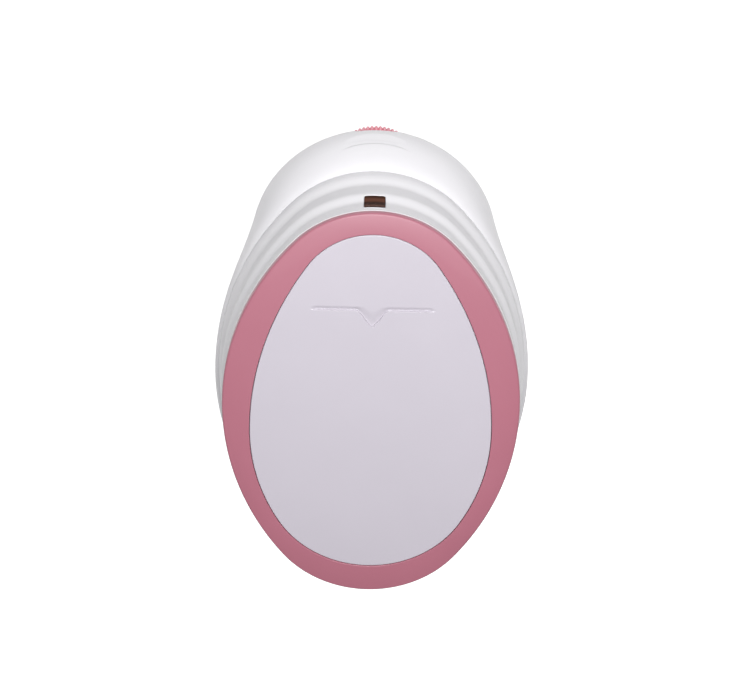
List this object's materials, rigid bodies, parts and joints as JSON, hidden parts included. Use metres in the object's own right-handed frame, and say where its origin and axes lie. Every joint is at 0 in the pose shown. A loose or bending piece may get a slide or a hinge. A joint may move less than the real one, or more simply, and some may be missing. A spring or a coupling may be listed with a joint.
{
  "type": "fetal doppler monitor",
  "caption": "Egg-shaped handheld fetal doppler with a sliding battery cover in a pink rim, stepped shell, knurled thumbwheel, earphone sockets and a round ultrasound probe.",
  "frame": {"origin": "centre of the ultrasound probe's contact face", "axes": "+Z from the contact face to the battery cover, +Y to the thumbwheel end, +X across"},
  "size_m": [0.0768, 0.1111, 0.0599],
  "materials": {
    "white_shell": "satin moulded ABS",
    "white_panel": "satin moulded ABS",
    "pink_trim": "satin pink ABS",
    "pink_wheel": "moulded pink ABS, knurled rim",
    "foam": "soft foam",
    "smoked_lens": "smoked brown acrylic",
    "led": "diffused epoxy",
    "tinned_wire": "tinned copper",
    "dark_moulding": "moulded black nylon",
    "screw_steel": "zinc plated steel",
    "circuit_board": "green solder mask",
    "chip": "epoxy package",
    "capacitor": "sleeved aluminium can",
    "battery_jacket": "lacquered steel jacket",
    "contact_metal": "nickel plated",
    "lead_jacket": "PVC sleeve",
    "probe_lens": "matching layer, pale grey",
    "seal_rubber": "soft seal",
    "ceramic": "silvered piezo ceramic",
    "shield_metal": "tin plated steel"
  },
  "bodies": {
    "casing": {"front_shell": "white_shell", "rear_shell": "white_shell", "led_window": "smoked_lens", "status_led": "led", "led_leads": "tinned_wire", "potentiometer": "dark_moulding", "main_board": "circuit_board", "board_chips": "chip", "board_capacitors": "capacitor", "board_screws": "screw_steel", "case_screws": "screw_steel", "battery_case": "battery_jacket", "battery_terminals": "contact_metal", "battery_clip": "dark_moulding", "battery_leads": "lead_jacket", "earphone_socket_left": "dark_moulding", "earphone_socket_right": "dark_moulding", "probe_housing": "white_shell", "probe_face": "probe_lens", "probe_gasket": "seal_rubber", "transmit_crystal": "ceramic", "receive_crystal": "ceramic", "crystal_divider": "foam", "backing_foam": "foam", "shield_can": "shield_metal", "probe_cable": "lead_jacket"},
    "battery_cover": {"ring_trim": "pink_trim", "cover_panel": "white_panel", "cover_foam": "foam"},
    "volume_wheel": {"thumbwheel": "pink_wheel", "wheel_screw": "screw_steel"}
  },
  "joints": [
    {"name": "cover_slide", "type": "slide", "parent": "casing", "child": "battery_cover", "axis": [0, -1, 0], "range_m": [0, 0.008]},
    {"name": "volume_turn", "type": "hinge", "parent": "casing", "child": "volume_wheel", "pos_m": [0, 0.0366, 0.0241], "axis": [0, 0, 1], "range_deg": [0, 270]}
  ]
}
